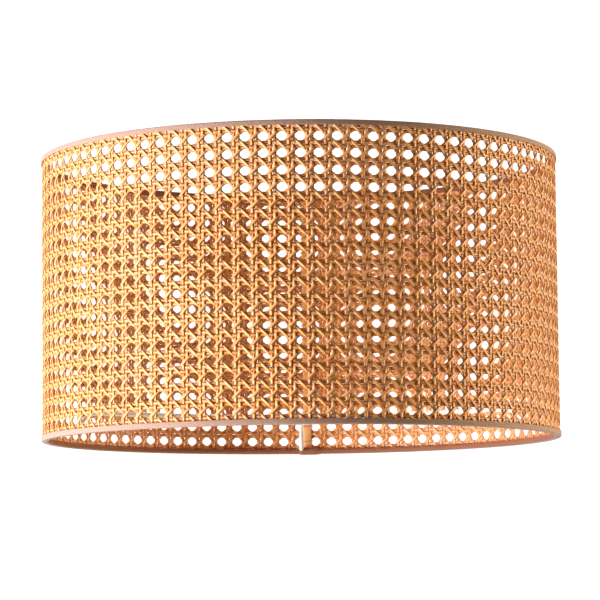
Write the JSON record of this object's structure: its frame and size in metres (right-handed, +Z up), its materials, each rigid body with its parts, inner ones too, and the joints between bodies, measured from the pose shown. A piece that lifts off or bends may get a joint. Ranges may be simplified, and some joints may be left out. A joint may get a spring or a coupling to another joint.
{
  "type": "lamp shade",
  "caption": "Drum lamp shade of open-hole cane webbing with cloth-taped rims, a sewn reed seam at the back and a wire ring fitter near the lower rim.",
  "frame": {"origin": "centre of the fitter's hole, on the underside of the washer that sits on the lampholder's shoulder", "axes": "+Z up along the drum's axis towards the upper rim; the seam and one fitter arm are at the back, towards +Y; the front of the shade looks along -Y"},
  "size_m": [0.3999, 0.4013, 0.218],
  "materials": {
    "cane": "woven split cane, natural honey, satin on its bark side",
    "reed": "flat split reed, satin",
    "thread": "waxed sewing thread, matt",
    "binding_cloth": "finely woven cotton tape, matt",
    "white_wire": "powder-coated off-white, semi-gloss"
  },
  "bodies": {
    "root": {"cane_webbing": "cane", "seam_cover_reed": "reed", "seam_backing_reed": "reed", "seam_stitches": "thread", "upper_wire_ring": "white_wire", "lower_wire_ring": "white_wire", "upper_binding_tape": "binding_cloth", "lower_binding_tape": "binding_cloth", "fitter_hub": "white_wire", "fitter_arm_back": "white_wire", "fitter_arm_left": "white_wire", "fitter_arm_right": "white_wire"}
  },
  "joints": []
}
